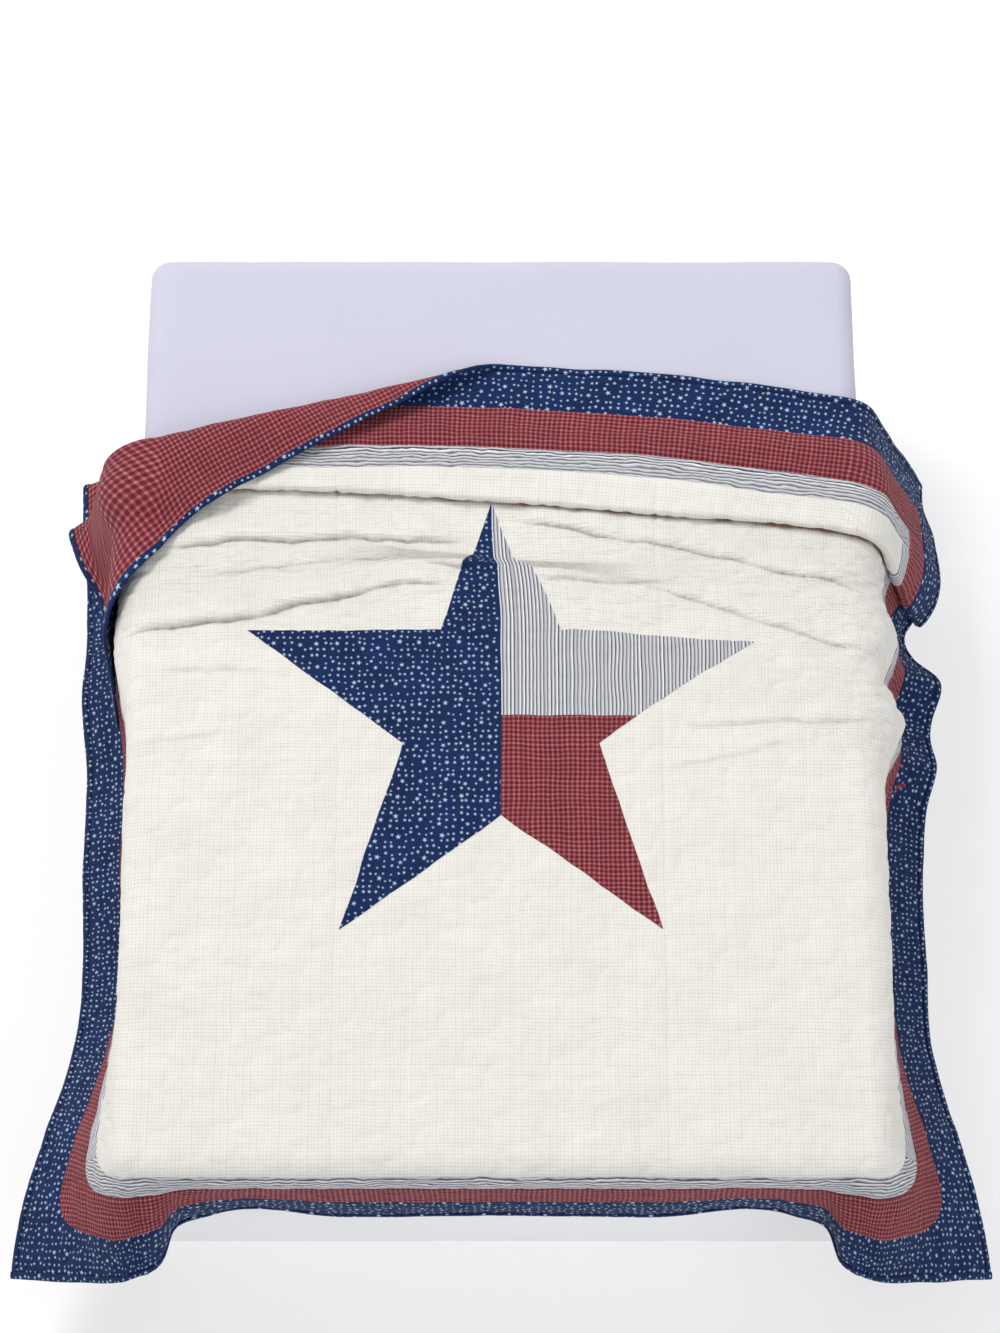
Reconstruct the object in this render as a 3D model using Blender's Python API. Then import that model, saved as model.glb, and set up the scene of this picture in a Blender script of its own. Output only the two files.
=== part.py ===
# A star quilt spread over a plain bed: the quilt's panels, borders and binding, the reverse where a
# corner is turned back, a mattress and its base.
# Metres, Z up, +Y towards the head of the bed. The origin is on the floor under the bed's middle.

import math
from collections import namedtuple

import bmesh
import bpy
import numpy as np

# Bed
MATTRESS_WIDTH = 1.504
MATTRESS_FOOT = -1.006
MATTRESS_HEAD = 1.016
MATTRESS_TOP = 0.5976
MATTRESS_EDGE = 0.045
BASE_HEIGHT = 0.300
BASE_INSET = 0.012
BASE_EDGE = 0.008
GAP = 0.0003

# Quilt, cut sizes
QUILT_WIDTH = 2.286
QUILT_LENGTH = 2.388
BINDING = 0.012
NAVY = 0.1016
CHECK = 0.1016
TICKING = 0.0508
PANEL_SEAM = 0.330
TOP_THICKNESS = 0.0042
REVERSE_THICKNESS = 0.0015

# Lie of the quilt: b runs from the foot hem to the head hem, and LIE is where b = 0 would fall
LIE = -1.294
CLOTH_LEVEL = 0.600
SIDE_BEND = 0.712
FOOT_BEND = -0.986
FOOT_RADIUS = 0.054
NAVY_KICK = 0.085
PATH_STEPS = 48

# Pleat across the bed: its folds, and the slack that lies in ripples below it
BACK_FOLD = 0.0045
FRONT_FOLD = 0.0080
SLACK = 0.089
RIPPLES_FROM = 1.380
RIPPLES_LENGTH = 0.420
SETTLE = 0.090
REST_LIFT = 0.004

# Turned-back corner at the head end, left
TURN_POINT = (-0.030, 0.742)
TURN_ANGLE = 15.2
TURN_ROLL = 0.020
TURN_LIFT = 0.014
TURN_SAG = 0.130
EDGE_PUFF = 0.018

HALF = QUILT_WIDTH / 2
HALF_NAVY = HALF - BINDING
HALF_CHECK = HALF - NAVY
HALF_TICKING = HALF_CHECK - CHECK
HALF_FIELD = HALF_TICKING - TICKING
BORDER = HALF - HALF_FIELD

# The pleat's front fold (y) and its depth, across the quilt (a)
Pleat = namedtuple("Pleat", "a front depth")
PLEAT = [
    Pleat(-1.143, 0.400, 0.112),
    Pleat(-0.780, 0.448, 0.112),
    Pleat(-0.500, 0.455, 0.112),
    Pleat(-0.030, 0.429, 0.112),
    Pleat(0.320, 0.397, 0.124),
    Pleat(0.680, 0.362, 0.150),
    Pleat(0.800, 0.338, 0.158),
    Pleat(1.143, 0.326, 0.165),
]

# Ridges of slack cloth lying across the bed, from end to end
Ridge = namedtuple("Ridge", "x0 y0 x1 y1 height width")
RIDGES = [
    Ridge(-0.700, 0.150, -0.380, 0.205, 0.026, 0.024),
    Ridge(-0.420, 0.205, -0.120, 0.246, 0.024, 0.024),
    Ridge(-0.640, 0.345, -0.100, 0.352, 0.022, 0.024),
    Ridge(-0.640, 0.255, -0.180, 0.290, 0.010, 0.020),
    Ridge(0.100, 0.385, 0.440, 0.308, 0.022, 0.024),
    Ridge(0.440, 0.308, 0.700, 0.240, 0.022, 0.024),
    Ridge(0.110, 0.262, 0.420, 0.222, 0.018, 0.022),
    Ridge(0.420, 0.222, 0.760, 0.090, 0.024, 0.026),
    Ridge(0.260, -0.090, 0.760, -0.070, 0.012, 0.022),
    Ridge(-0.690, 0.035, -0.480, 0.035, 0.007, 0.020),
]

# How each side hangs, by the distance from its foot corner: bend radius, the hanging cloth's
# direction (outward and towards the head, the rest down) and the kick of the navy border in degrees
Side = namedtuple("Side", "at radius out along kick")
LEFT_SIDE = [
    Side(0.00, 0.054, 0.51, 0.46, 0),
    Side(0.20, 0.050, 0.20, 0.30, 30),
    Side(0.40, 0.047, 0.05, 0.18, 50),
    Side(0.70, 0.050, 0.03, 0.07, 50),
    Side(0.95, 0.052, 0.03, 0.00, 50),
    Side(1.10, 0.085, 0.00, 0.00, 50),
    Side(1.25, 0.075, 0.00, 0.00, 46),
    Side(1.45, 0.060, 0.05, 0.00, 40),
    Side(2.00, 0.054, 0.05, 0.00, 35),
]
RIGHT_SIDE = [
    Side(0.00, 0.054, 0.51, 0.46, 0),
    Side(0.20, 0.062, 0.20, 0.30, 30),
    Side(0.40, 0.066, 0.05, 0.18, 48),
    Side(0.70, 0.068, 0.03, 0.06, 50),
    Side(0.84, 0.074, 0.03, 0.00, 50),
    Side(0.93, 0.112, 0.00, 0.00, 50),
    Side(1.02, 0.082, 0.00, 0.00, 50),
    Side(1.12, 0.104, 0.02, 0.00, 54),
    Side(1.27, 0.072, 0.05, 0.00, 54),
    Side(1.50, 0.060, 0.06, 0.00, 48),
    Side(2.00, 0.054, 0.05, 0.00, 40),
]

# How the foot hangs, by the distance from the corner
Foot = namedtuple("Foot", "at out along")
FOOT = [
    Foot(0.000, -0.256, -0.491),
    Foot(0.095, -0.023, -0.163),
    Foot(0.187, 0.050, 0.060),
    Foot(0.400, 0.000, 0.030),
    Foot(0.700, 0.000, 0.055),
]

# How the cloth leaves a foot corner, by the angle on the flat cloth from the side to the foot
Corner = namedtuple("Corner", "angle out along")
CORNER = [
    Corner(0.0, 0.51, 0.46),
    Corner(17.0, 0.52, 0.20),
    Corner(33.7, 0.46, -0.07),
    Corner(53.0, 0.22, -0.33),
    Corner(72.5, -0.05, -0.50),
    Corner(90.0, -0.256, -0.491),
]

# Lines of the mesh: each stop, and the step of the lines after it
Stop = namedtuple("Stop", "at step")
COLUMNS = [
    Stop(-HALF, 0.050),
    Stop(-HALF_NAVY, 0.050),
    Stop(-HALF_CHECK, 0.052),
    Stop(-HALF_TICKING, 0.052),
    Stop(-HALF_FIELD, 0.045),
    Stop(-0.800, 0.022),
    Stop(-SIDE_BEND, 0.064),
    Stop(-PANEL_SEAM, 0.066),
    Stop(0.0, 0.110),
    Stop(PANEL_SEAM, 0.083),
    Stop(0.662, 0.025),
    Stop(SIDE_BEND, 0.022),
    Stop(0.800, 0.045),
    Stop(HALF_FIELD, 0.052),
    Stop(HALF_TICKING, 0.052),
    Stop(HALF_CHECK, 0.050),
    Stop(HALF_NAVY, 0.050),
    Stop(HALF, 0.050),
]
FOOT_ROWS = [
    Stop(0.0, 0.050),
    Stop(BINDING, 0.050),
    Stop(NAVY, 0.052),
    Stop(NAVY + CHECK, 0.022),
    Stop(BORDER, 0.020),
    Stop(0.310, 0.150),
    Stop(1.200, 0.180),
    Stop(RIPPLES_FROM, 0.180),
]
HEAD_ROWS = [
    Stop(QUILT_LENGTH - BORDER, 0.017),
    Stop(QUILT_LENGTH - NAVY - CHECK, 0.017),
    Stop(QUILT_LENGTH - NAVY, 0.018),
    Stop(QUILT_LENGTH - BINDING, 0.020),
    Stop(QUILT_LENGTH, 0.020),
]
ROWS_IN_RIPPLES = 13
ROWS_UNDER_PLEAT = 1
ROWS_IN_BACK_FOLD = 3
ROWS_IN_FRONT_FOLD = 4
ROWS_ABOVE_PLEAT = 2

FINISHES = {
    "cream_cotton": ((0.83, 0.80, 0.70, 1), 0.85),
    "ticking_cotton": ((0.56, 0.58, 0.64, 1), 0.85),
    "red_check_cotton": ((0.32, 0.06, 0.08, 1), 0.85),
    "navy_cotton": ((0.016, 0.04, 0.14, 1), 0.85),
    "mattress_cotton": ((0.84, 0.84, 0.86, 1), 0.90),
    "base_cotton": ((0.70, 0.69, 0.68, 1), 0.90),
}


# A column of a table, read between its rows on a smooth curve through them
def read(table, name, at):
    first = table[0]._fields[0]
    places = np.array([getattr(row, first) for row in table])
    values = np.array([getattr(row, name) for row in table], dtype=float)
    slopes = np.gradient(values, places)
    at = np.clip(at, places[0], places[-1])
    i = np.clip(np.searchsorted(places, at, side="right") - 1, 0, len(places) - 2)
    span = places[i + 1] - places[i]
    t = (at - places[i]) / span
    rise = (3 - 2 * t) * t * t
    start = t * (1 - t) ** 2 * span * slopes[i]
    end = t * t * (t - 1) * span * slopes[i + 1]
    return values[i] + rise * (values[i + 1] - values[i]) + start + end


def ease(x):
    x = np.clip(x, 0, 1)
    return x * x * (3 - 2 * x)


def lines(stops):
    places = []
    for stop, following in zip(stops, stops[1:]):
        count = max(1, round((following.at - stop.at) / stop.step))
        places += [stop.at + (following.at - stop.at) * i / count for i in range(count)]
    return np.array(places + [stops[-1].at])


# The pleat's folds on the flat cloth, as lengths from the foot hem
def pleat_keys(a):
    front = read(PLEAT, "front", a)
    depth = read(PLEAT, "depth", a)
    under = front - LIE + SLACK
    back = under + depth
    middle = back + math.pi * BACK_FOLD
    turn = middle + depth
    top = turn + math.pi * FRONT_FOLD
    return under, back, middle, turn, top


def ridge_height(x, y):
    height = np.zeros_like(x)
    for ridge in RIDGES:
        run = np.array((ridge.x1 - ridge.x0, ridge.y1 - ridge.y0))
        length = math.hypot(*run)
        along = ((x - ridge.x0) * run[0] + (y - ridge.y0) * run[1]) / length
        across = ((y - ridge.y0) * run[0] - (x - ridge.x0) * run[1]) / length
        ends = ease((along + 0.05) / 0.10) * ease((length + 0.05 - along) / 0.10)
        height = np.maximum(height, ridge.height * ends * np.exp(-((across / ridge.width) ** 2)))
    return height


# Where a point of the flat cloth lies on the bed's unrolled surface, and its height over it
def lay(a, b):
    front = read(PLEAT, "front", a)
    depth = read(PLEAT, "depth", a)
    under, back, middle, turn, top = pleat_keys(a)
    stack = 2 * BACK_FOLD + 2 * FRONT_FOLD
    slack = SLACK * ease((b - RIPPLES_FROM) / RIPPLES_LENGTH)
    y = b + LIE - slack
    x = a + 0.0
    h = ridge_height(a, y) * (b < back)

    angle = (b - back) / BACK_FOLD
    here = (b >= back) & (b < middle)
    y = np.where(here, front + depth + BACK_FOLD * np.sin(angle), y)
    h = np.where(here, BACK_FOLD * (1 - np.cos(angle)), h)

    here = (b >= middle) & (b < turn)
    y = np.where(here, front + depth - (b - middle), y)
    h = np.where(here, 2 * BACK_FOLD, h)

    angle = (b - turn) / FRONT_FOLD
    here = (b >= turn) & (b < top)
    y = np.where(here, front - FRONT_FOLD * np.sin(angle), y)
    h = np.where(here, 2 * BACK_FOLD + FRONT_FOLD * (1 - np.cos(angle)), h)

    here = b >= top
    past = np.maximum(b - top, 0)
    tilt = (read(PLEAT, "depth", a + 0.05) - read(PLEAT, "depth", a - 0.05)) / 0.05
    down = ease((past - depth - 0.005) / SETTLE)
    y = np.where(here, front + past, y)
    x = np.where(here, a + past * tilt, x)
    h = np.where(here, stack - (stack - REST_LIFT) * down, h)
    return turn_back(x, y, h, here)


# The top layer beyond the turn line is rolled over and laid on what is beside it
def turn_back(x, y, h, on_top):
    angle = math.radians(TURN_ANGLE)
    normal = (-math.sin(angle), math.cos(angle))
    start = -math.pi * TURN_ROLL / 2
    reach = (x - TURN_POINT[0]) * normal[0] + (y - TURN_POINT[1]) * normal[1] - start
    turned = on_top & (reach > 0)
    roll = reach / TURN_ROLL
    past = reach - math.pi * TURN_ROLL
    place = np.where(past < 0, TURN_ROLL * np.sin(roll), -past) + start
    shift = np.where(turned, place - reach - start, 0)
    x = x + shift * normal[0]
    y = y + shift * normal[1]

    front = read(PLEAT, "front", x)
    depth = read(PLEAT, "depth", x)
    stack = 2 * BACK_FOLD + 2 * FRONT_FOLD
    beyond = stack - (stack - REST_LIFT) * ease((y - front - depth - 0.005) / SETTLE)
    before = stack * ease((y - front + 0.100) / 0.070)
    ridges = ridge_height(x, y) * (1 - ease((y - front + 0.100) / 0.070))
    carried = np.where(y > front, beyond, before + ridges)
    puff = EDGE_PUFF * np.exp(-(((np.abs(x) - 0.775) / 0.075) ** 2)) * ease(past / 0.06)
    lift = TURN_LIFT + (2 * TURN_ROLL - TURN_LIFT) * (1 - ease(past / TURN_SAG)) + puff
    rolled = TURN_ROLL * (1 - np.cos(roll))
    return x, y, np.where(turned, carried + np.where(past < 0, rolled, lift), h)


def unit(vectors):
    return vectors / np.linalg.norm(vectors, axis=-1, keepdims=True)


def turn_between(first, last, share):
    angle = np.arccos(np.clip((first * last).sum(axis=-1), -1, 1))
    safe = np.maximum(angle, 1e-6)
    share = share * np.ones_like(angle)
    one = np.sin((1 - share) * safe) / np.sin(safe)
    two = np.sin(share * safe) / np.sin(safe)
    return unit(one[..., None] * first + two[..., None] * last)


# Direction in which the cloth hangs: outward, towards the head, and the rest down
def hanging(out, along, side):
    down = np.sqrt(np.maximum(1 - out**2 - along**2, 0.01))
    return unit(np.stack((side * out, along, -down), axis=-1))


# From the bed's unrolled surface to the hanging cloth, without its height
def drape(x, y):
    side = np.where(x < 0, -1.0, 1.0)
    over = np.maximum(np.abs(x) - SIDE_BEND, 0)
    past = np.maximum(FOOT_BEND - y, 0)
    reach = np.hypot(over, past)
    angle = np.degrees(np.arctan2(past, over))
    outward = np.stack((side, np.zeros_like(side), np.zeros_like(side)), axis=-1)
    plan = np.stack((side * over, -past, np.zeros_like(over)), axis=-1)
    plan = np.where(reach[..., None] > 0, plan / np.maximum(reach, 1e-9)[..., None], outward)

    from_corner = np.maximum(y - FOOT_BEND, 0)
    left = x < 0
    sides = {
        name: np.where(
            left, read(LEFT_SIDE, name, from_corner), read(RIGHT_SIDE, name, from_corner)
        )
        for name in ("radius", "out", "along", "kick")
    }
    inward = np.maximum(SIDE_BEND - np.abs(x), 0)
    at_side = past == 0
    at_foot = (over == 0) & ~at_side
    out = np.where(at_side, sides["out"], read(CORNER, "out", angle))
    along = np.where(at_side, sides["along"], read(CORNER, "along", angle))
    out = np.where(at_foot, read(FOOT, "out", inward), out)
    along = np.where(at_foot, read(FOOT, "along", inward), along)
    radius = np.where(at_side, sides["radius"], FOOT_RADIUS)
    kick = np.radians(np.where(at_side, sides["kick"], 0))

    hang = hanging(out, along, side)
    kicked = unit(hang * np.cos(kick)[..., None] + outward * np.sin(kick)[..., None])
    bend = radius * np.arccos(np.clip((plan * hang).sum(axis=-1), -1, 1))
    kick_from = HALF_CHECK - 0.03 - SIDE_BEND

    step = reach / PATH_STEPS
    moved = np.zeros(x.shape + (3,))
    for i in range(PATH_STEPS):
        gone = (i + 0.5) * step
        heading = turn_between(plan, hang, np.clip(gone / np.maximum(bend, 1e-6), 0, 1))
        late = turn_between(hang, kicked, np.clip((gone - kick_from) / NAVY_KICK, 0, 1))
        heading = np.where((gone > kick_from)[..., None], late, heading)
        moved += heading * step[..., None]
    start = np.stack(
        (
            np.clip(x, -SIDE_BEND, SIDE_BEND),
            np.maximum(y, FOOT_BEND),
            np.full_like(x, CLOTH_LEVEL),
        ),
        axis=-1,
    )
    return start + np.where(reach[..., None] > 0, moved, 0)


def across_product(place, first, second, tiny=1e-4):
    ahead = place(first + tiny, second) - place(first - tiny, second)
    aside = place(first, second + tiny) - place(first, second - tiny)
    return unit(np.cross(ahead, aside))


# The middle surface of the cloth in space
def hung(a, b):
    x, y, h = lay(a, b)
    return drape(x, y) + across_product(drape, x, y) * h[..., None]


# Points of the cloth at an offset from its middle surface, on its face side
def cloth(a, b, offset):
    middle = hung(a, b)
    normal = across_product(hung, a, b, 2e-4)
    return middle + normal * offset


COLUMN_LINES = lines(COLUMNS)
FOOT_LINES = lines(FOOT_ROWS)
HEAD_LINES = lines(HEAD_ROWS)


# Every row of the mesh on each column: rows follow the pleat's folds between foot and head
def row_table():
    keys = (np.full_like(COLUMN_LINES, RIPPLES_FROM),) + pleat_keys(COLUMN_LINES)
    keys += (np.full_like(COLUMN_LINES, HEAD_LINES[0]),)
    counts = (
        ROWS_IN_RIPPLES,
        ROWS_UNDER_PLEAT,
        ROWS_IN_BACK_FOLD,
        ROWS_UNDER_PLEAT,
        ROWS_IN_FRONT_FOLD,
        ROWS_ABOVE_PLEAT,
    )
    rows = [np.full_like(COLUMN_LINES, b) for b in FOOT_LINES[:-1]]
    for first, last, count in zip(keys, keys[1:], counts):
        rows += [first + (last - first) * i / count for i in range(count)]
    rows += [np.full_like(COLUMN_LINES, b) for b in HEAD_LINES]
    return np.array(rows)


ROWS = row_table()


def column_of(a):
    return int(np.argmin(np.abs(COLUMN_LINES - a)))


def row_of(b):
    return int(np.argmin(np.abs(ROWS[:, 0] - b)))


def finish(name):
    material = bpy.data.materials.get(name)
    if material is None:
        colour, roughness = FINISHES[name]
        material = bpy.data.materials.new(name)
        material.use_nodes = True
        shader = material.node_tree.nodes["Principled BSDF"]
        shader.inputs["Base Color"].default_value = colour
        shader.inputs["Roughness"].default_value = roughness
        shader.inputs["Metallic"].default_value = 0.0
        material.diffuse_color = colour
    return material


# One closed piece of cloth: the block of mesh lines between two columns and two rows
def cloth_piece(name, a_range, b_range, thickness, level, finish_name, parent):
    first_column, last_column = (column_of(a) for a in a_range)
    first_row, last_row = (row_of(b) for b in b_range)
    a = np.tile(COLUMN_LINES[first_column : last_column + 1], (last_row - first_row + 1, 1))
    b = ROWS[first_row : last_row + 1, first_column : last_column + 1].copy()
    a[:, 0] += GAP / 2
    a[:, -1] -= GAP / 2
    b[0] += GAP / 2
    b[-1] -= GAP / 2
    mesh = bmesh.new()
    faces_up = cloth(a, b, level + thickness / 2)
    faces_down = cloth(a, b, level - thickness / 2)
    upper = [[mesh.verts.new(point) for point in row] for row in faces_up]
    lower = [[mesh.verts.new(point) for point in row] for row in faces_down]
    last_r = len(upper) - 1
    last_c = len(upper[0]) - 1
    for r in range(last_r):
        for c in range(last_c):
            for one, two in (((0, 1), (1, 1)), ((1, 1), (1, 0))):
                corners = [(r, c), (r + one[0], c + one[1]), (r + two[0], c + two[1])]
                mesh.faces.new([upper[i][j] for i, j in corners])
                mesh.faces.new([lower[i][j] for i, j in reversed(corners)])
    rim = [(0, c) for c in range(last_c)]
    rim += [(r, last_c) for r in range(last_r)]
    rim += [(last_r, c) for c in range(last_c, 0, -1)]
    rim += [(r, 0) for r in range(last_r, 0, -1)]
    for (i, j), (k, m) in zip(rim, rim[1:] + rim[:1]):
        if (i, j) < (k, m):
            mesh.faces.new((lower[i][j], lower[k][m], upper[k][m]))
            mesh.faces.new((lower[i][j], upper[k][m], upper[i][j]))
        else:
            mesh.faces.new((lower[i][j], lower[k][m], upper[i][j]))
            mesh.faces.new((lower[k][m], upper[k][m], upper[i][j]))
    data = bpy.data.meshes.new(name)
    mesh.to_mesh(data)
    mesh.free()
    return add_object(name, data, finish_name, parent)


def add_object(name, data, finish_name, parent):
    data.shade_smooth()
    data.set_sharp_from_angle(angle=math.radians(40))
    data.materials.append(finish(finish_name))
    piece = bpy.data.objects.new(name, data)
    bpy.context.scene.collection.objects.link(piece)
    piece.parent = parent
    return piece


# The four strips of a border ring: the head and foot strips run the full width
def border(name, outer, inner, finish_name, parent):
    half = HALF - outer
    inside = HALF - inner
    low, high = outer, QUILT_LENGTH - outer
    strips = {
        "foot": ((-half, half), (low, inner)),
        "head": ((-half, half), (QUILT_LENGTH - inner, high)),
        "left": ((-half, -inside), (inner, QUILT_LENGTH - inner)),
        "right": ((inside, half), (inner, QUILT_LENGTH - inner)),
    }
    for place, (a_range, b_range) in strips.items():
        piece = (f"{name}_{place}", a_range, b_range, TOP_THICKNESS, 0.0, finish_name, parent)
        cloth_piece(*piece)


def make_quilt():
    quilt = add_empty("quilt")
    panels = {
        "field_left": (-HALF_FIELD, -PANEL_SEAM),
        "field_centre": (-PANEL_SEAM, PANEL_SEAM),
        "field_right": (PANEL_SEAM, HALF_FIELD),
    }
    field = (BORDER, QUILT_LENGTH - BORDER)
    for name, a_range in panels.items():
        cloth_piece(name, a_range, field, TOP_THICKNESS, 0.0, "cream_cotton", quilt)
    border("ticking", NAVY + CHECK, BORDER, "ticking_cotton", quilt)
    border("check", NAVY, NAVY + CHECK, "red_check_cotton", quilt)
    border("navy", BINDING, NAVY, "navy_cotton", quilt)
    border("binding", 0.0, BINDING, "navy_cotton", quilt)
    level = -(TOP_THICKNESS + REVERSE_THICKNESS) / 2 - GAP
    cloth_piece(
        "reverse_corner",
        (-HALF_NAVY, 0.0),
        (QUILT_LENGTH - BORDER, QUILT_LENGTH - BINDING),
        REVERSE_THICKNESS,
        level,
        "red_check_cotton",
        quilt,
    )


def add_empty(name):
    empty = bpy.data.objects.new(name, None)
    bpy.context.scene.collection.objects.link(empty)
    return empty


# A block with rounded edges, from its lowest to its highest corner
def padded_block(name, low, high, edge, finish_name, parent):
    mesh = bmesh.new()
    size = [b - a for a, b in zip(low, high)]
    bmesh.ops.create_cube(mesh, size=1)
    bmesh.ops.scale(mesh, vec=size, verts=mesh.verts)
    data = bpy.data.meshes.new(name)
    mesh.to_mesh(data)
    mesh.free()
    piece = add_object(name, data, finish_name, parent)
    piece.location = [(a + b) / 2 for a, b in zip(low, high)]
    bevel = piece.modifiers.new("rounded_edges", "BEVEL")
    bevel.width = edge
    bevel.segments = 4
    return piece


def make_bed():
    bed = add_empty("bed")
    half = MATTRESS_WIDTH / 2
    padded_block(
        "mattress",
        (-half, MATTRESS_FOOT, BASE_HEIGHT + GAP),
        (half, MATTRESS_HEAD, MATTRESS_TOP),
        MATTRESS_EDGE,
        "mattress_cotton",
        bed,
    )
    padded_block(
        "bed_base",
        (BASE_INSET - half, MATTRESS_FOOT + BASE_INSET, 0.0),
        (half - BASE_INSET, MATTRESS_HEAD - BASE_INSET, BASE_HEIGHT),
        BASE_EDGE,
        "base_cotton",
        bed,
    )


def main():
    for item in list(bpy.data.objects):
        bpy.data.objects.remove(item, do_unlink=True)
    make_quilt()
    make_bed()


main()
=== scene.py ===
# Star quilt on a bed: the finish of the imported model.
import math

import bmesh
import bpy
import numpy as np
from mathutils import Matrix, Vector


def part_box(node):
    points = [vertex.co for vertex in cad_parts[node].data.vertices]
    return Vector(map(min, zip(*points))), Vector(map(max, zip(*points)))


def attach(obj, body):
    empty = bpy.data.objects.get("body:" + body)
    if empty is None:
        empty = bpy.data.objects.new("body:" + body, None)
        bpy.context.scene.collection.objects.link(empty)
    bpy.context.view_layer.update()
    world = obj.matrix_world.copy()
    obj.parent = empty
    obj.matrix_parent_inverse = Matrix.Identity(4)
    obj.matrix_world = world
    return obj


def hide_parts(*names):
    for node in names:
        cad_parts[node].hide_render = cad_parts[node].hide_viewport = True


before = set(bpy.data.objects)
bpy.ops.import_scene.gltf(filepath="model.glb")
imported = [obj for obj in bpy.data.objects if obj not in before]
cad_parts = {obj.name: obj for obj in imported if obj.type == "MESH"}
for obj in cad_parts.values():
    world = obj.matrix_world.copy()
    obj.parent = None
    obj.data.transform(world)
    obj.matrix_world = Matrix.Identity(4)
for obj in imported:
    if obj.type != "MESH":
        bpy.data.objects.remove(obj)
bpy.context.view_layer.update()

scene = bpy.context.scene
mattressLow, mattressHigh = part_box("mattress")
print("frame loaded:", len(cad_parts), "nodes")


# Camera, floor and light

view = {
    "elevation": 66.0,          # degrees above the floor, from the foot of the bed
    "distance": 8.5,            # from the middle of the mattress's top
    "focal": 4165.0,            # in pixels of the 1000 x 1333 picture
    "pictureHeight": 1333.0,
    "sensor": 36.0,
    "shift": (-0.0008, 0.0154),
    "farthest": 200.0,
    "skyColour": (0.97, 0.98, 1.0),
    "skyStrength": 0.66,
    "floorSize": 60.0,
    "floorColour": (0.50, 0.50, 0.505),
    "floorShade": (0.47, 0.47, 0.47),
    "floorGlow": 0.49,          # the white sweep is lit by itself, so shadows on it stay faint
}
softboxes = {
    "keyLight": {
        "place": (-5.0, 5.5, 10.5),
        "aim": (0, -0.1, 0.4),
        "side": 3.8,
        "watts": 850,
        "colour": (1.0, 0.99, 0.975),
    },
    "fillLight": {
        "place": (5.5, -4.5, 7.5),
        "aim": (0, -0.2, 0.4),
        "side": 5.0,
        "watts": 150,
        "colour": (0.97, 0.98, 1.0),
    },
}
clothLevel = mattressHigh.z + 0.0024     # the middle of the quilt's thickness, where it lies flat


def addCamera():
    tilt = math.radians(view["elevation"])
    back = view["distance"] * math.cos(tilt)
    up = view["distance"] * math.sin(tilt)
    bpy.ops.object.camera_add(location=(0, -back, clothLevel + up), rotation=(math.pi / 2 - tilt, 0, 0))
    camera = bpy.context.object
    camera.name = "photoView"
    camera.data.sensor_width = view["sensor"]
    camera.data.lens = view["focal"] / view["pictureHeight"] * view["sensor"]
    camera.data.shift_x, camera.data.shift_y = view["shift"]
    camera.data.clip_end = view["farthest"]
    scene.camera = camera


def addSoftbox(name, box):
    bpy.ops.object.light_add(type="AREA", location=box["place"])
    lamp = bpy.context.object
    lamp.name = name
    lamp.data.shape = "RECTANGLE"
    lamp.data.size = box["side"]
    lamp.data.size_y = box["side"]
    lamp.data.energy = box["watts"]
    lamp.data.color = box["colour"]
    way = [b - a for a, b in zip(box["place"], box["aim"])]
    flat = math.hypot(way[0], way[1])
    lamp.rotation_euler = (math.atan2(flat, -way[2]), 0, math.atan2(-way[0], way[1]))


def addLights():
    for name, box in softboxes.items():
        addSoftbox(name, box)
    world = bpy.data.worlds.new("studio")
    scene.world = world
    world.use_nodes = True
    sky = world.node_tree.nodes["Background"]
    sky.inputs["Color"].default_value = (*view["skyColour"], 1)
    sky.inputs["Strength"].default_value = view["skyStrength"]
    scene.view_settings.view_transform = "Standard"


# Shader maths

def srgb(red, green, blue):      # a colour picked on screen, 0 to 255, as linear light
    def lin(v):
        v = v / 255
        return v / 12.92 if v <= 0.04045 else ((v + 0.055) / 1.055) ** 2.4
    return (lin(red), lin(green), lin(blue), 1.0)


class Wire:
    def __init__(self, finish, socket):
        self.finish = finish
        self.socket = socket

    def math(self, operation, *values):
        return self.finish.node("ShaderNodeMath", {"operation": operation}, values)

    def __add__(self, other):
        return self.math("ADD", self, other)

    def __sub__(self, other):
        return self.math("SUBTRACT", self, other)

    def __rsub__(self, other):
        return self.math("SUBTRACT", other, self)

    def __mul__(self, other):
        return self.math("MULTIPLY", self, other)

    def __truediv__(self, other):
        return self.math("DIVIDE", self, other)

    def __rtruediv__(self, other):
        return self.math("DIVIDE", other, self)

    def __lt__(self, other):
        return self.math("LESS_THAN", self, other)

    def __gt__(self, other):
        return self.math("GREATER_THAN", self, other)

    def __mod__(self, other):
        return self.math("FLOORED_MODULO", self, other)

    def __rmod__(self, other):
        return self.math("FLOORED_MODULO", other, self)

    __radd__ = __add__
    __rmul__ = __mul__

    def size(self):
        return self.math("ABSOLUTE", self)

    def wave(self):
        return self.math("SINE", self)

    def clamped(self):
        return self.finish.node("ShaderNodeClamp", {}, [self])

    def output(self, number):    # another output of the same node
        return Wire(self.finish, self.socket.node.outputs[number])


clothShine = {
    "sheenRoughness": 0.6,
    "specular": 0.25,
}


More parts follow.
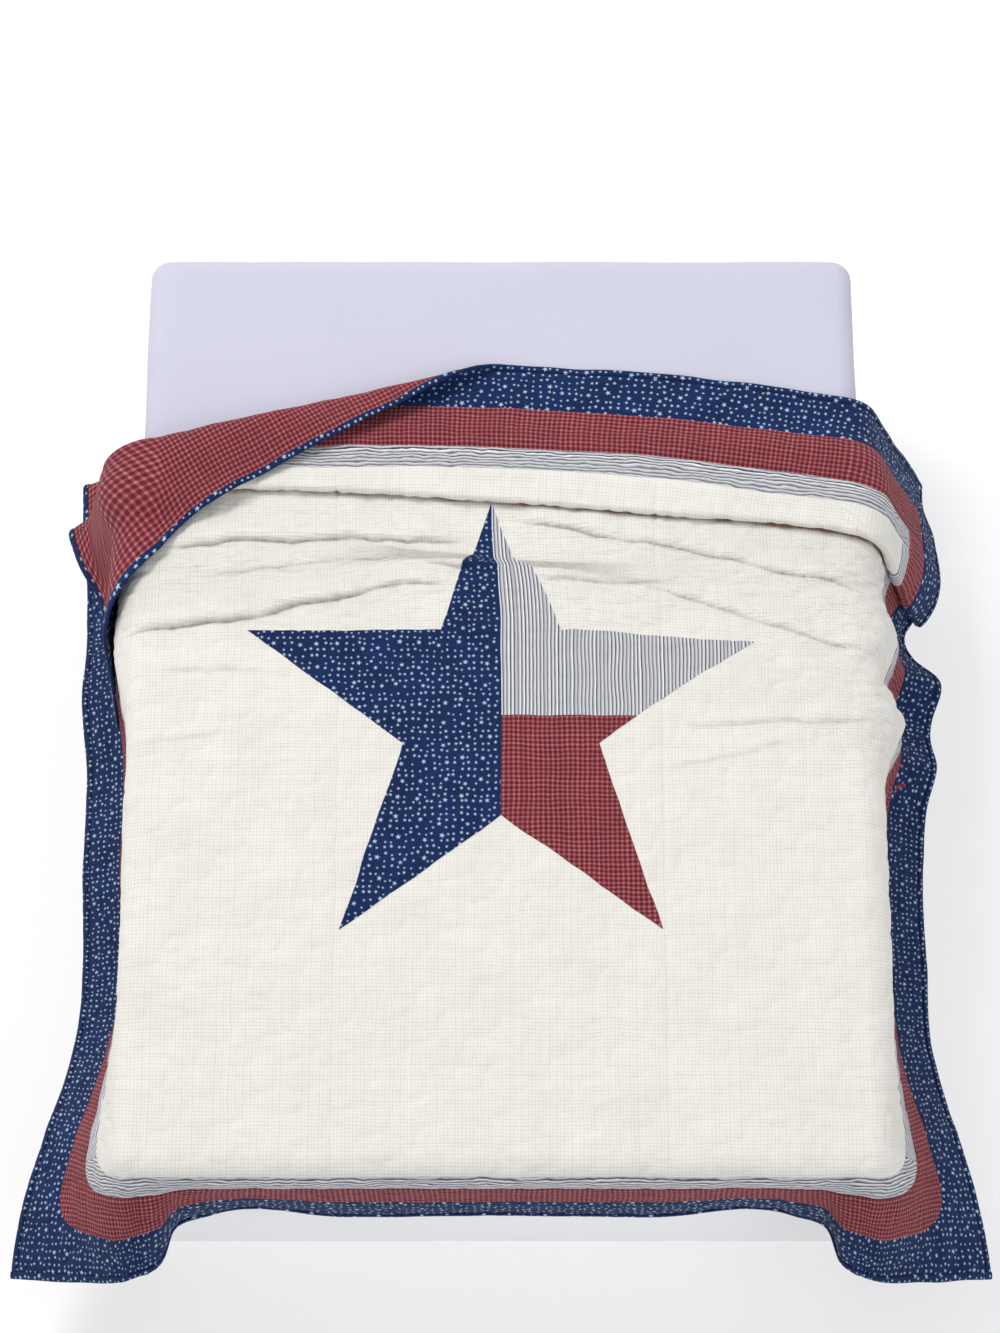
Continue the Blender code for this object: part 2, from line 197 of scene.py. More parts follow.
class Finish:                    # one material, built node by node
    def __init__(self, name, roughness, sheen=0.0):
        self.material = bpy.data.materials.new(name)
        self.material.use_nodes = True
        self.tree = self.material.node_tree
        self.shader = self.tree.nodes["Principled BSDF"]
        self.shader.inputs["Roughness"].default_value = roughness
        self.shader.inputs["Sheen Weight"].default_value = sheen
        self.shader.inputs["Sheen Roughness"].default_value = clothShine["sheenRoughness"]
        self.shader.inputs["Specular IOR Level"].default_value = clothShine["specular"]

    def node(self, kind, settings, values, out=0):
        made = self.tree.nodes.new(kind)
        for name, value in settings.items():
            setattr(made, name, value)
        pairs = values.items() if isinstance(values, dict) else enumerate(values)
        for key, value in pairs:
            if isinstance(value, Wire):
                self.tree.links.new(value.socket, made.inputs[key])
            else:
                made.inputs[key].default_value = value
        return Wire(self, made.outputs[out])

    def mix(self, share, first, second):
        return self.node("ShaderNodeMix", {"data_type": "RGBA"}, {0: share, 6: first, 7: second}, 2)

    def flat(self):              # where a point lies on the flat cloth, in metres
        at = self.node("ShaderNodeUVMap", {"uv_map": "flat"}, [])
        a = self.node("ShaderNodeSeparateXYZ", {}, [at])
        return at, a, a.output(1)

    def place(self):             # where a point lies on the bed, in metres
        return self.node("ShaderNodeTexCoord", {}, [], "Object")

    def noise(self, at, scale, detail=2.0, rough=0.5):
        values = {"Vector": at, "Scale": scale, "Detail": detail, "Roughness": rough}
        return self.node("ShaderNodeTexNoise", {}, values, 0)

    def stretched(self, at, across, along):
        return self.node("ShaderNodeVectorMath", {"operation": "MULTIPLY"}, [at, (across, along, 1)])

    def slow(self, at, scale):   # a slow change of shade, from 0 to 1
        return ((self.noise(at, scale, 3.0) - 0.3) * 1.8).clamped()

    def grain(self, at, scale):
        return self.noise(self.stretched(at, scale, scale), 1.0)

    def colour(self, value):
        self.tree.links.new(value.socket, self.shader.inputs["Base Color"])

    def relief(self, height, depth):
        values = {"Strength": 1.0, "Distance": depth, "Height": height}
        bump = self.node("ShaderNodeBump", {}, values)
        self.tree.links.new(bump.socket, self.shader.inputs["Normal"])


def line(wire, pitch, width, soft):      # 1 on a line of this width, every pitch
    away = (wire % pitch - pitch / 2).size()
    return ((width / 2 + soft - away) / soft).clamped()


def lines(finish, wire, pitch, width, soft, least):      # the same, each as strong as its yarns
    ratio = wire / pitch
    number = ratio.math("FLOOR", ratio)
    chance = finish.node("ShaderNodeTexWhiteNoise", {"noise_dimensions": "1D"}, {"W": number}, "Value")
    return line(wire, pitch, width, soft) * (chance * (1 - least) + least)


clothRelief = {
    "yarnPitch": 0.0011,
    "yarn": 0.3,
    "crumple": 1.1,
    "crumpleScale": (80, 80),
    "detail": 5.0,
    "rough": 0.62,
    "depth": 0.0011,
}


def yarns(a, b):                         # the plain weave, as a height from 0 to 1
    turn = 2 * math.pi / clothRelief["yarnPitch"]
    return ((a * turn).wave() * (b * turn).wave()) * 0.5 + 0.5


def crumpled(finish, at, scale):
    return finish.noise(finish.stretched(at, *scale), 1.0, clothRelief["detail"], clothRelief["rough"])


def woven(finish, at, a, b):             # the relief of a plain cotton
    crumple = crumpled(finish, at, clothRelief["crumpleScale"])
    height = yarns(a, b) * clothRelief["yarn"] + crumple * clothRelief["crumple"]
    finish.relief(height, clothRelief["depth"])


clothColours = {
    "cream": (243, 241, 235),
    "creamShade": (236, 233, 225),
    "creamCheck": (196, 186, 168),
    "creamThread": (255, 253, 246),
    # painted shade: the brown that the creases' bottoms, the tuck and the line under the pleat's front are
    # darkened toward
    "paintedCreaseShade": (140, 106, 82),
    "navy": (4, 42, 98),
    "navyDark": (3, 30, 76),
    "starLight": (186, 212, 236),
    "redDark": (110, 24, 37),
    "redDeep": (94, 20, 32),
    "redLight": (206, 122, 127),
    "tickingGround": (194, 195, 200),
    "tickingShade": (166, 167, 176),
    "tickingLine": (38, 42, 60),
    "tickingLight": (252, 252, 253),
    # the sheet's own lavender white, darkened partly with painted shade
    "mattress": (200, 200, 216),
    "base": (248, 248, 250),
}
tone = {name: srgb(*value) for name, value in clothColours.items()}


creamWeave = {
    "pitch": (0.00715, 0.00735),         # of the woven check, across and along the bed
    "line": (0.0007, 0.0006, 0.45),      # width, soft edge and least strength
    "drift": 0.0012,
    "threadPitch": (0.0143, 0.0147),     # of the pale threads
    "threadFrom": 0.0021,
    "thread": (0.0005, 0.0006, -0.6),    # the least is below nought, so some threads don't show
    "threadShare": 0.6,
    "checkShare": 0.60,
    "upper": (1.34, 1.80),               # where the level crinkles start and end, from the foot hem
    "rightEdge": (0.40, 0.95),           # where the slanting ones start, across and along
    "slant": 0.55,
    "rightShare": 1.3,
    "creaseScale": (60, 130),
    "levelScale": (11, 70),
    "slantScale": (14, 80),
    "relief": {"yarn": 0.25, "crease": 1.2, "check": 0.25, "crinkle": 0.95},
}


def crinkled(finish, at, scale):         # 0 on fine wandering creases, 1 away from them
    away = (finish.noise(finish.stretched(at, *scale), 1.0, 3.0, 0.6) - 0.5).size()
    return (away * 9).clamped()


def creamFinish():
    weave = creamWeave
    finish = Finish("creamCheck", 0.88, 0.15)
    at, a, b = finish.flat()
    patches = finish.noise(finish.stretched(at, 55, 55), 1.0, 3.0)
    drift = (finish.noise(at, 40.0) - 0.5) * weave["drift"]
    across = lines(finish, a + drift, weave["pitch"][0], *weave["line"])
    along = lines(finish, b + drift, weave["pitch"][1], *weave["line"])
    check = ((across + along) * (patches * 1.2 + 0.1)).clamped()
    threads = lines(finish, a + weave["threadFrom"], weave["threadPitch"][0], *weave["thread"])
    more = lines(finish, b + weave["threadFrom"], weave["threadPitch"][1], *weave["thread"])
    base = finish.mix(finish.slow(at, 9.0), tone["creamShade"], tone["cream"])
    base = finish.mix((threads + more).clamped() * weave["threadShare"], base, tone["creamThread"])
    base = finish.mix(check * weave["checkShare"], base, tone["creamCheck"])
    # painted shade: the shadeLine attribute darkens the creases, the tuck and the line under the pleat's
    # front toward a brown
    paintedShade = finish.node("ShaderNodeAttribute", {"attribute_name": "shadeLine"}, [], "Fac")
    finish.colour(finish.mix((paintedShade * (patches * 1.2 + 0.4)).clamped(), base, tone["paintedCreaseShade"]))
    low, high = weave["upper"]
    upper = ((b - low) * 6).clamped() * (1 - ((b - high) * 30).clamped())
    rightFrom, upFrom = weave["rightEdge"]
    rightEdge = ((a - rightFrom) * 3).clamped() * ((b - upFrom) * 4).clamped()
    slant = finish.node("ShaderNodeVectorRotate", {}, {"Vector": at, "Angle": weave["slant"]})
    crinkle = crinkled(finish, at, weave["levelScale"]) * upper
    crinkle = crinkle + crinkled(finish, slant, weave["slantScale"]) * rightEdge * weave["rightShare"]
    share = weave["relief"]
    height = yarns(a, b) * share["yarn"] + crumpled(finish, at, weave["creaseScale"]) * share["crease"]
    height = height + check * share["check"] + crinkle * share["crinkle"]
    finish.relief(height, clothRelief["depth"])
    return finish.material


tickingWeave = {                # pairs: for the side borders and the star, for the foot and head
    "pitch": 0.00765,
    "dark": ((0.0019, 0.0007, 0.60), (0.0023, 0.0007, 0.60)),    # width, soft edge, least strength
    "light": (0.0020, 0.0007, 0.25),
    "lightFrom": 0.36,          # in pitches
    "band": (0.0034, 0.0014, 0.1),
    "bandFrom": 0.9,
    "bend": (0.0020, 0.0140),   # how far the stripes stray
    "bendScale": ((40, 16), (20, 46)),
}


def tickingFinish(name, atEnds):         # atEnds is true for the foot and head borders
    weave = tickingWeave
    pitch = weave["pitch"]
    finish = Finish(name, 0.86, 0.1)
    at, a, b = finish.flat()
    bend = finish.noise(finish.stretched(at, *weave["bendScale"][atEnds]), 1.0)
    run = (b if atEnds else a) + (bend - 0.5) * weave["bend"][atEnds]
    dark = lines(finish, run, pitch, *weave["dark"][atEnds])
    light = lines(finish, run + pitch * weave["lightFrom"], pitch, *weave["light"])
    band = lines(finish, run + pitch * weave["bandFrom"], pitch * 2, *weave["band"])
    shade = band * 0.5 + finish.grain(at, 500) * 0.3
    base = finish.mix(shade, tone["tickingGround"], tone["tickingShade"])
    base = finish.mix(light * 0.95, base, tone["tickingLight"])
    finish.colour(finish.mix(dark * 0.95, base, tone["tickingLine"]))
    woven(finish, at, a, b)
    return finish.material


redWeave = {
    "pitch": 0.0100,
    "line": 0.25,               # width and soft edge, in pitches
    "soft": 0.15,
    "least": 0.68,
    "drift": 0.0022,
    "single": 0.27,             # how pale one stripe is, and how much paler two that cross
    "crossed": 0.42,
}


def redFinish():
    weave = redWeave
    pitch = weave["pitch"]
    finish = Finish("redCheck", 0.86, 0.04)
    at, a, b = finish.flat()
    drift = (finish.noise(at, 34.0) - 0.5) * weave["drift"]
    kind = (pitch, pitch * weave["line"], pitch * weave["soft"], weave["least"])
    across = lines(finish, a + drift, *kind)
    along = lines(finish, b + drift, *kind)
    ground = finish.mix(finish.slow(at, 14.0), tone["redDeep"], tone["redDark"])
    pale = (across + along) * weave["single"] + across * along * weave["crossed"]
    pale = (pale * (0.8 + finish.grain(at, 600) * 0.4)).clamped()
    finish.colour(finish.mix(pale, ground, tone["redLight"]))
    woven(finish, at, a, b)
    return finish.material


starPrint = {
    "smallPitch": 0.0140,
    "smallRadius": 0.0051,
    "smallVary": 0.30,          # how much the radius varies
    "smallShare": 0.94,
    "largePitch": 0.0430,
    "largeRadius": 0.0071,
    "largeVary": 0.15,
    "clear": 0.0100,            # no small star's middle lies this near a large one's
    "scatter": 0.46,
    "innerShare": 0.46,
    "softEdge": 0.34,
}


def starCells(finish, at, pitch):        # the nearest star's middle, its chance number and what lies between
    cells = {"Vector": at, "Scale": 1 / pitch, "Randomness": starPrint["scatter"]}
    centre = finish.node("ShaderNodeTexVoronoi", {"voronoi_dimensions": "2D"}, cells, "Position")
    chance = finish.node("ShaderNodeTexVoronoi", {"voronoi_dimensions": "2D"}, cells, "Color")
    away = finish.node("ShaderNodeVectorMath", {"operation": "SUBTRACT"}, [at, centre])
    return centre, chance, away


def starShape(finish, away, chance, radius, vary):       # 1 inside a five-pointed star
    luck = finish.node("ShaderNodeSeparateXYZ", {}, [chance])
    x = finish.node("ShaderNodeSeparateXYZ", {}, [away])
    y = x.output(1)
    far = x * x + y * y
    far = far.math("SQRT", far)
    turn = y.math("ARCTAN2", y, x) + luck * 6.28
    fifth = 2 * math.pi / 5
    halfFifth = fifth / 2
    fold = (turn % fifth - halfFifth).size()
    inner = starPrint["innerShare"]
    outer = (luck.output(1) * vary + (1 - vary)) * radius
    edge = outer * (inner * math.sin(halfFifth)) / ((halfFifth - fold).wave() * inner + fold.wave())
    return ((edge - far) / (radius * starPrint["softEdge"])).clamped()


def navyFinish():
    finish = Finish("navyStars", 0.86, 0.04)
    at, a, b = finish.flat()
    ground = finish.mix(finish.slow(at, 12.0), tone["navyDark"], tone["navy"])
    centre, chance, away = starCells(finish, at, starPrint["smallPitch"])
    small = starShape(finish, away, chance, starPrint["smallRadius"], starPrint["smallVary"])
    largeBetween = starCells(finish, centre, starPrint["largePitch"])[2]
    room = finish.node("ShaderNodeVectorMath", {"operation": "LENGTH"}, [largeBetween], "Value")
    small = small * (1 - (room < starPrint["clear"])) * starPrint["smallShare"]
    largeChance, largeAway = starCells(finish, at, starPrint["largePitch"])[1:]
    large = starShape(finish, largeAway, largeChance, starPrint["largeRadius"], starPrint["largeVary"])
    stars = small.math("MAXIMUM", small, large) * (0.84 + finish.grain(at, 700) * 0.4)
    finish.colour(finish.mix(stars.clamped(), ground, tone["starLight"]))
    woven(finish, at, a, b)
    return finish.material


plainCloth = {
    "roughness": 0.9,
    "pale": 1.04,               # the colour's lightest and deepest, as shares of it
    "deep": 0.93,
    "cloudScale": 3.0,
    "crumpleScale": 45.0,
    "depth": 0.0008,
}


def plainFinish(name, colour, yarn):
    finish = Finish(name, plainCloth["roughness"], 0.1)
    at = finish.place()
    cloud = finish.noise(at, plainCloth["cloudScale"], 3.0)
    grain = finish.noise(at, 1 / yarn)
    pale = tuple(min(1, v * plainCloth["pale"]) for v in colour[:3]) + (1,)
    deep = tuple(v * plainCloth["deep"] for v in colour[:3]) + (1,)
    finish.colour(finish.mix((cloud * 0.7 + grain * 0.3).clamped(), deep, pale))
    crumple = finish.noise(at, plainCloth["crumpleScale"], 4.0, 0.6)
    finish.relief(grain * 0.5 + crumple, plainCloth["depth"])
    return finish.material


# The quilt's lie on the bed

quilt = {
    "width": 2.286,
    "length": 2.388,
    "binding": 0.012,
    "navy": 0.1016,
    "check": 0.1016,
    "ticking": 0.0508,
    "panelSeam": 0.330,
    "lie": -1.294,              # where the foot hem would fall on the unrolled bed
    "sideBend": mattressHigh.x - 0.040,
    "footBend": mattressLow.y + 0.020,
    "footRadius": 0.054,
    "navyKick": 0.055,
    "kickEarly": 0.03,          # the hanging cloth turns outward this far before the navy border
    "slack": 0.089,             # taken up by the folds below the pleat and by the tuck
    "slackFrom": 1.380,
    "slackLength": 0.420,
    "wander": 0.0022,           # how far the seams stray from straight
    "wanderPitch": 0.065,
}
roundSeam = {                   # the seams' round turns in the foot corners
    "reach": 0.112,
    "from": 0.075,              # in from the binding
    "until": 0.30,
    "fade": 0.28,
}
tuck = {                        # a gather across the star's top arm
    "share": 0.75,              # of the slack
    "from": 1.582,
    "length": 0.088,
    "tilt": -0.10,
    "reach": 0.27,
}
rightArm = {                    # the star's right arm is drawn down a little
    "drop": 0.024,
    "from": 0.12,
    "width": 0.40,
    "at": 1.420,
    "span": 0.110,
}
pleat = {
    "backFold": 0.0045,
    "frontFold": 0.0080,
    "settleFrom": 0.005,        # past the pleat's back the top layer comes down to restLift
    "settle": 0.090,
    "restLift": 0.004,
    "lean": 0.020,              # how far the middle is drawn toward the left below the pleat
    "leanFrom": 1.42,
    "leanLength": 0.34,
    "leanWidth": 0.42,
    "at": [-1.143, -0.780, -0.500, -0.030, 0.320, 0.680, 0.800, 1.143],
    "front": [0.400, 0.448, 0.455, 0.429, 0.397, 0.362, 0.338, 0.326],
    "depth": [0.112, 0.112, 0.112, 0.112, 0.124, 0.150, 0.158, 0.165],
}
turnedCorner = {
    "point": (-0.030, 0.742),
    "angle": 15.2,
    "roll": 0.020,
    "lift": 0.014,
    "sag": 0.130,
    "puff": 0.018,              # over the mattress's edge
    "puffAt": 0.775,
    "puffWidth": 0.075,
    "puffFrom": 0.06,
    "sweep": 0.170,             # how far its free edge swings down toward the bed's side
    "sweepFrom": -0.600,
    "sweepWidth": 0.250,
    "sweepLength": 0.30,
    "stepFrom": 0.100,          # where it comes down in front of the pleat
    "stepLength": 0.070,
}
creases = [                     # x0, y0, x1, y1, height of the fold above it, its width
    (-0.740, 0.118, -0.496, 0.158, 0.020, 0.050),
    (-0.500, 0.158, -0.264, 0.220, 0.020, 0.048),
    (-0.270, 0.220, -0.130, 0.232, 0.013, 0.042),
    (-0.670, 0.322, -0.080, 0.334, 0.018, 0.044),
    (-0.590, 0.252, -0.160, 0.300, 0.007, 0.034),
    (-0.140, 0.284, -0.015, 0.262, 0.013, 0.032),
    (0.070, 0.372, 0.260, 0.340, 0.015, 0.040),
    (0.260, 0.340, 0.520, 0.281, 0.013, 0.042),
    (0.520, 0.281, 0.720, 0.222, 0.013, 0.040),
    (0.095, 0.250, 0.360, 0.228, 0.010, 0.034),
    (0.320, 0.218, 0.530, 0.144, 0.009, 0.036),
    (0.530, 0.144, 0.745, 0.080, 0.011, 0.036),
    (0.400, -0.086, 0.748, -0.076, 0.007, 0.030),
    (0.366, -0.174, 0.600, -0.124, 0.004, 0.026),
    (-0.690, 0.035, -0.480, 0.035, 0.005, 0.026),
    (-0.740, -0.120, -0.560, -0.100, 0.004, 0.026),
]
creaseShape = {
    "rise": 0.0065,             # how soon a fold stands up from its crease
    "past": 0.05,               # how far past its line's ends a crease runs out
    "fade": 0.11,
    "wander": (0.008, 0.11),    # how far the line strays, and over what length
    "waver": (0.003, 0.035),
}
leftSide = {                    # by the distance from the foot corner
    "at": [0.00, 0.15, 0.30, 0.45, 0.70, 0.95, 1.10, 1.25, 1.40, 1.55, 2.00],
    "radius": [0.054, 0.052, 0.048, 0.047, 0.050, 0.052, 0.085, 0.075, 0.062, 0.058, 0.054],
    "out": [0.34, 0.19, 0.09, 0.07, 0.09, 0.09, 0.04, 0.10, 0.18, 0.20, 0.20],
    "along": [0.38, 0.32, 0.24, 0.16, 0.07, 0.00, 0.00, 0.04, 0.20, 0.34, 0.34],
    "kick": [28, 40, 50, 54, 54, 54, 52, 44, 44, 44, 40],
}
rightSide = {
    "at": [0.00, 0.15, 0.30, 0.45, 0.70, 0.86, 0.94, 1.05, 1.14, 1.21, 1.27, 1.34, 1.50, 2.00],
    "radius": [
        0.054, 0.058, 0.064, 0.066, 0.066, 0.076, 0.114, 0.068, 0.106, 0.080, 0.076, 0.082, 0.080, 0.070,
    ],
    "out": [0.34, 0.19, 0.09, 0.06, 0.07, 0.08, 0.02, 0.17, 0.15, 0.12, 0.17, 0.34, 0.37, 0.38],
    "along": [0.38, 0.32, 0.24, 0.16, 0.06, 0.00, 0.00, 0.00, 0.00, 0.00, 0.00, 0.00, 0.02, 0.06],
    "kick": [28, 40, 48, 54, 54, 54, 54, 56, 54, 34, 14, 6, 0, 0],
}
footDrop = {                    # by the distance from the corner
    "at": [0.000, 0.045, 0.090, 0.150, 0.400, 0.700],
    "out": [-0.030, 0.030, 0.120, 0.080, 0.000, 0.000],
    "along": [-0.520, -0.400, -0.100, 0.040, 0.030, 0.045],
}
cornerDrop = {                  # by the angle on the flat cloth, from the side round to the foot
    "at": [0.0, 17.0, 33.7, 53.0, 72.5, 90.0],
    "out": [0.34, 0.39, 0.38, 0.28, 0.11, -0.03],
    "along": [0.38, 0.13, -0.11, -0.38, -0.55, -0.52],
    "kick": [28, 35, 35, 24, 8, 0],
}
half = quilt["width"] / 2
halfCheck = half - quilt["navy"]
halfField = halfCheck - quilt["check"] - quilt["ticking"]
border = half - halfField


def read(table, name, at):                # a smooth curve through a table's column
    places = np.array(table["at"], dtype=float)
    values = np.array(table[name], dtype=float)
    slopes = np.gradient(values, places)
    at = np.clip(at, places[0], places[-1])
    i = np.clip(np.searchsorted(places, at, side="right") - 1, 0, len(places) - 2)
    span = places[i + 1] - places[i]
    t = (at - places[i]) / span
    rise = (3 - 2 * t) * t * t
    start = t * (1 - t) ** 2 * span * slopes[i]
    end = t * t * (t - 1) * span * slopes[i + 1]
    return values[i] + rise * (values[i + 1] - values[i]) + start + end


def ease(x):
    x = np.clip(x, 0, 1)
    return x * x * (3 - 2 * x)


def unit(vectors):
    return vectors / np.linalg.norm(vectors, axis=-1, keepdims=True)


noiseTable = np.random.RandomState(11).rand(256, 256)


def bumps(x, y, pitch, seed=0):           # smooth random height from -1 to 1
    x = x / pitch + 17.3 * seed + 500
    y = y / pitch + 9.7 * seed + 500
    i, j = np.floor(x).astype(int), np.floor(y).astype(int)
    u, v = ease(x - i), ease(y - j)
    corners = [[noiseTable[(i + m) % 256, (j + n) % 256] for n in (0, 1)] for m in (0, 1)]
    low = corners[0][0] * (1 - v) + corners[0][1] * v
    high = corners[1][0] * (1 - v) + corners[1][1] * v
    return (low * (1 - u) + high * u) * 2 - 1


def fromCrease(x, y, x0, y0, x1, y1):     # the way past a crease's line, and 1 along it, 0 beyond its ends
    run = (x1 - x0, y1 - y0)
    length = math.hypot(*run)
    along = ((x - x0) * run[0] + (y - y0) * run[1]) / length
    across = ((y - y0) * run[0] - (x - x0) * run[1]) / length
    for (stray, pitch), seed in zip((creaseShape["wander"], creaseShape["waver"]), (3, 7)):
        across = across + stray * bumps(x, y, pitch, seed)
    past, fade = creaseShape["past"], creaseShape["fade"]
    ends = ease((along + past) / fade) * ease((length + past - along) / fade)
    return across, ends


def foldHeight(x, y):                     # soft folds, each rising sharply from the crease on its foot side
    height = np.zeros_like(x)
    for x0, y0, x1, y1, tall, width in creases:
        across, ends = fromCrease(x, y, x0, y0, x1, y1)
        across = np.maximum(across, 0)
        rise = 1 - np.exp(-across / creaseShape["rise"])
        height = np.maximum(height, tall * ends * rise * np.exp(-((across / width) ** 2)))
    return height


def pleatKeys(a):                         # where, along the flat cloth, the pleat's layers and turns begin
    front = read(pleat, "front", a)
    depth = read(pleat, "depth", a)
    under = front - quilt["lie"] + quilt["slack"]
    back = under + depth
    middleLayer = back + math.pi * pleat["backFold"]
    turn = middleLayer + depth
    top = turn + math.pi * pleat["frontFold"]
    return under, back, middleLayer, turn, top


def tuckPlace(a, b):                      # 0 at the tuck's foot edge, 1 at its head edge
    return (b - tuck["from"] - tuck["tilt"] * a) / tuck["length"]


def inTuck(a, b, width, power):           # 1 in the tuck, 0 away from it
    middle = tuckPlace(a, b) - 0.5
    return np.exp(-((a / tuck["reach"]) ** 4)) * np.exp(-((middle / width) ** power))


def settled(a, b):                        # the lower layer, with its slack taken up
    share = tuck["share"] * np.exp(-((a / tuck["reach"]) ** 4))
    slack = (1 - share) * ease((b - quilt["slackFrom"]) / quilt["slackLength"])
    slack = slack + share * np.clip(tuckPlace(a, b), 0, 1)
    arm = ease((a - rightArm["from"]) / rightArm["width"])
    arm = arm * np.exp(-(((b - rightArm["at"]) / rightArm["span"]) ** 2))
    y = b + quilt["lie"] - quilt["slack"] * slack - rightArm["drop"] * arm
    lean = pleat["lean"] * ease((b - pleat["leanFrom"]) / pleat["leanLength"])
    return a - lean * np.exp(-((a / pleat["leanWidth"]) ** 2)), y


def layersHeight():
    return 2 * (pleat["backFold"] + pleat["frontFold"])


def beyondPleat(past):                    # the top layer's height, this far past the pleat's back
    stack = layersHeight()
    down = ease((past - pleat["settleFrom"]) / pleat["settle"])
    return stack - (stack - pleat["restLift"]) * down


def lay(a, b):                            # from the flat cloth to the bed's unrolled surface
    front = read(pleat, "front", a)
    depth = read(pleat, "depth", a)
    under, back, middleLayer, turn, top = pleatKeys(a)
    low, high = 2 * pleat["backFold"], 2 * pleat["frontFold"]
    x, y = settled(a, b)
    h = foldHeight(a, y) * (b < back)

    angle = (b - back) / pleat["backFold"]
    here = (b >= back) & (b < middleLayer)
    y = np.where(here, front + depth + low / 2 * np.sin(angle), y)
    h = np.where(here, low / 2 * (1 - np.cos(angle)), h)

    here = (b >= middleLayer) & (b < turn)
    y = np.where(here, front + depth - (b - middleLayer), y)
    h = np.where(here, low, h)

    angle = (b - turn) / pleat["frontFold"]
    here = (b >= turn) & (b < top)
    y = np.where(here, front - high / 2 * np.sin(angle), y)
    h = np.where(here, low + high / 2 * (1 - np.cos(angle)), h)

    here = b >= top
    past = np.maximum(b - top, 0)
    near = 0.05
    tilt = (read(pleat, "depth", a + near) - read(pleat, "depth", a - near)) / near
    y = np.where(here, front + past, y)
    x = np.where(here, x + past * tilt, x)
    h = np.where(here, beyondPleat(past - depth), h)
    return turnBack(x, y, h, here)


def turnBack(x, y, h, onTop):             # the head corner rolled over and laid down
    corner = turnedCorner
    angle = math.radians(corner["angle"])
    roll = corner["roll"]
    normal = (-math.sin(angle), math.cos(angle))
    start = -math.pi * roll / 2
    point = corner["point"]
    reach = (x - point[0]) * normal[0] + (y - point[1]) * normal[1] - start
    turned = onTop & (reach > 0)
    past = reach - math.pi * roll
    place = np.where(past < 0, roll * np.sin(reach / roll), -past) + start
    shift = np.where(turned, place - reach - start, 0)
    x = x + shift * normal[0]
    y = y + shift * normal[1]
    swing = ease((corner["sweepFrom"] - x) / corner["sweepWidth"]) * ease(past / corner["sweepLength"])
    y = y - np.where(turned, corner["sweep"] * swing, 0)
    front = read(pleat, "front", x)
    depth = read(pleat, "depth", x)
    step = ease((y - front + corner["stepFrom"]) / corner["stepLength"])
    before = layersHeight() * step + foldHeight(x, y) * (1 - step)
    carried = np.where(y > front, beyondPleat(y - front - depth), before)
    puff = corner["puff"] * np.exp(-(((np.abs(x) - corner["puffAt"]) / corner["puffWidth"]) ** 2))
    lift = corner["lift"]
    lift = lift + (2 * roll - lift) * (1 - ease(past / corner["sag"]))
    lift = lift + puff * ease(past / corner["puffFrom"])
    rolled = roll * (1 - np.cos(reach / roll))
    return x, y, np.where(turned, carried + np.where(past < 0, rolled, lift), h)


def hanging(out, along, side):            # the way that cloth hangs, given its lean out and along the bed
    down = np.sqrt(np.maximum(1 - out**2 - along**2, 0.01))
    return unit(np.stack((side * out, along, -down), axis=-1))


def bendPath(first, last, radius, gone):  # the way covered on an arc from one direction to another
    angle = np.arccos(np.clip((first * last).sum(axis=-1), -1, 1))
    angle = np.maximum(angle, 1e-5)
    swept = np.clip(gone / radius, 0, angle)
    one = (np.cos(angle - swept) - np.cos(angle)) / np.sin(angle)
    two = (1 - np.cos(swept)) / np.sin(angle)
    return radius[..., None] * (one[..., None] * first + two[..., None] * last), angle * radius


def drape(x, y):                          # from the unrolled surface to the hanging cloth
    side = np.where(x < 0, -1.0, 1.0)
    over = np.maximum(np.abs(x) - quilt["sideBend"], 0)
    past = np.maximum(quilt["footBend"] - y, 0)
    reach = np.hypot(over, past)
    angle = np.degrees(np.arctan2(past, over))
    outward = np.stack((side, np.zeros_like(side), np.zeros_like(side)), axis=-1)
    plan = np.stack((side * over, -past, np.zeros_like(over)), axis=-1)
    plan = np.where(reach[..., None] > 0, plan / np.maximum(reach, 1e-9)[..., None], outward)
    fromCorner = np.maximum(y - quilt["footBend"], 0)
    inward = np.maximum(quilt["sideBend"] - np.abs(x), 0)
    atSide = past == 0
    atFoot = (over == 0) & ~atSide
    sides = {
        name: np.where(x < 0, read(leftSide, name, fromCorner), read(rightSide, name, fromCorner))
        for name in ("radius", "out", "along", "kick")
    }
    out = np.where(atSide, sides["out"], read(cornerDrop, "out", angle))
    along = np.where(atSide, sides["along"], read(cornerDrop, "along", angle))
    out = np.where(atFoot, read(footDrop, "out", inward), out)
    along = np.where(atFoot, read(footDrop, "along", inward), along)
    radius = np.where(atSide, sides["radius"], quilt["footRadius"])
    kick = np.where(atSide, sides["kick"], read(cornerDrop, "kick", angle))
    kick = np.radians(np.where(atFoot, 0, kick))

    hang = hanging(out, along, side)
    kicked = unit(hang * np.cos(kick)[..., None] + plan * np.sin(kick)[..., None])
    bend, bendLength = bendPath(plan, hang, radius, reach)
    kickFrom = halfCheck - quilt["kickEarly"] - quilt["sideBend"]
    straight = np.clip(np.minimum(reach, kickFrom) - bendLength, 0, None)
    turning = np.maximum(reach - kickFrom, 0)
    swing = np.arccos(np.clip((hang * kicked).sum(axis=-1), -1, 1))
    kickRadius = quilt["navyKick"] / np.maximum(swing, 1e-5)
    late, lateLength = bendPath(hang, kicked, kickRadius, turning)
    rest = np.maximum(turning - lateLength, 0)
    way = bend + hang * straight[..., None] + late + kicked * rest[..., None]
    start = np.stack(
        (
            np.clip(x, -quilt["sideBend"], quilt["sideBend"]),
            np.maximum(y, quilt["footBend"]),
            np.full_like(x, clothLevel),
        ),
        axis=-1,
    )
    return start + np.where(reach[..., None] > 0, way, 0)


def facing(place, first, second, tiny=1e-4):
    ahead = place(first + tiny, second) - place(first - tiny, second)
    aside = place(first, second + tiny) - place(first, second - tiny)
    return unit(np.cross(ahead, aside))


